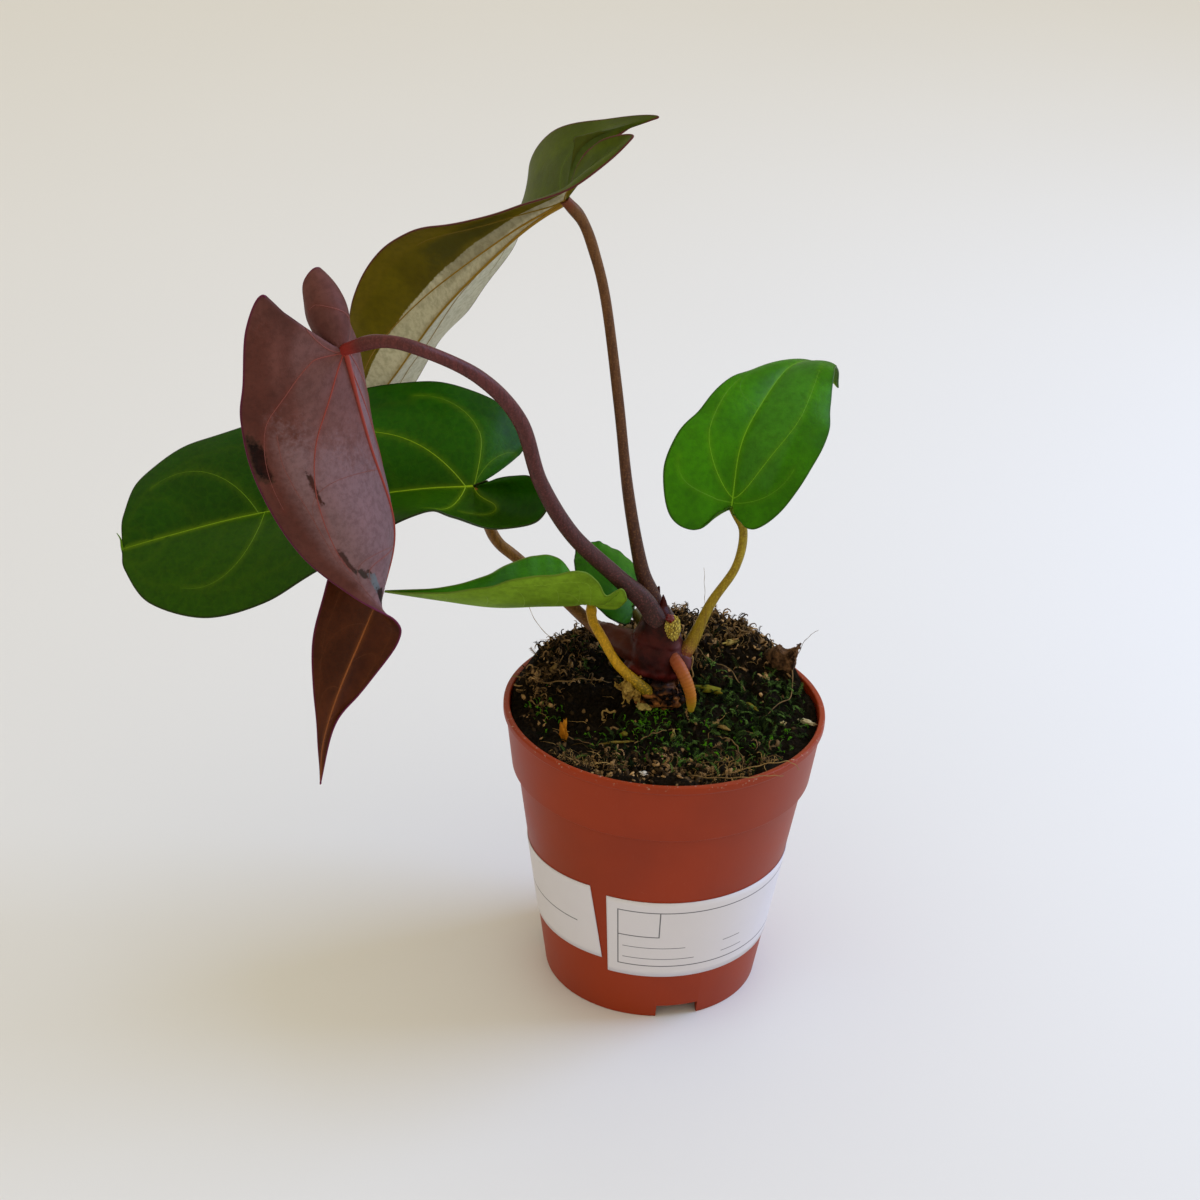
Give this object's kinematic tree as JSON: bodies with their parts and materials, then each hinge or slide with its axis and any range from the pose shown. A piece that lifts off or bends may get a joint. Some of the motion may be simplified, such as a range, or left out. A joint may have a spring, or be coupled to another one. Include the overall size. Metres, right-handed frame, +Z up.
{
  "type": "potted anthurium hybrid",
  "caption": "Young aroid house plant with heart-shaped leaves on long stalks, rooted in a mossy mix in a round plastic nursery pot with blank labels.",
  "frame": {"origin": "on the surface the pot stands on, below the middle of the whole plant's bounding box", "axes": "+Z up, -Y the front, the side of the pot with the labels, and the long leaf points to -X"},
  "size_m": [0.26, 0.1492, 0.3328],
  "materials": {
    "pot_plastic": "satin moulded terracotta-coloured plastic with pale scuffs",
    "label_paper": "plain pale blue-white label film with a thin printed frame and no words",
    "potting_mix": "damp bark and fibre mix with moss",
    "bark": "rough bark",
    "crown_tissue": "dark maroon plant tissue, slightly glossy",
    "stub_tissue": "dry yellow granular cut tissue",
    "root_tissue": "orange-brown root skin",
    "dry_tissue": "papery dried sheath",
    "stalk_brown": "smooth brown-purple stalk skin",
    "stalk_purple": "smooth dark red-purple stalk skin",
    "stalk_orange": "smooth orange-brown stalk skin",
    "stalk_yellow": "smooth yellow stalk skin",
    "stalk_olive": "smooth olive stalk skin",
    "blade_olive": "satin leaf, olive under face with light passing through",
    "blade_red": "satin young leaf, pinkish red with red veins",
    "blade_dark_green": "glossy dark green leaf with yellow-green veins",
    "blade_light_green": "satin light green leaf",
    "blade_mid_green": "glossy bright green leaf"
  },
  "bodies": {
    "root": {"pot": "pot_plastic", "label_front": "label_paper", "label_side": "label_paper", "soil": "potting_mix", "bark_chip": "bark", "crown": "crown_tissue", "cut_stub": "stub_tissue", "aerial_root": "root_tissue", "dry_sheath": "dry_tissue", "stalk_tall": "stalk_brown", "blade_tall": "blade_olive", "stalk_red": "stalk_purple", "blade_red": "blade_red", "stalk_long": "stalk_orange", "blade_long": "blade_dark_green", "stalk_low": "stalk_yellow", "blade_low": "blade_light_green", "stalk_right": "stalk_olive", "blade_right": "blade_mid_green", "stalk_back": "stalk_olive", "blade_back": "blade_dark_green"}
  },
  "joints": []
}
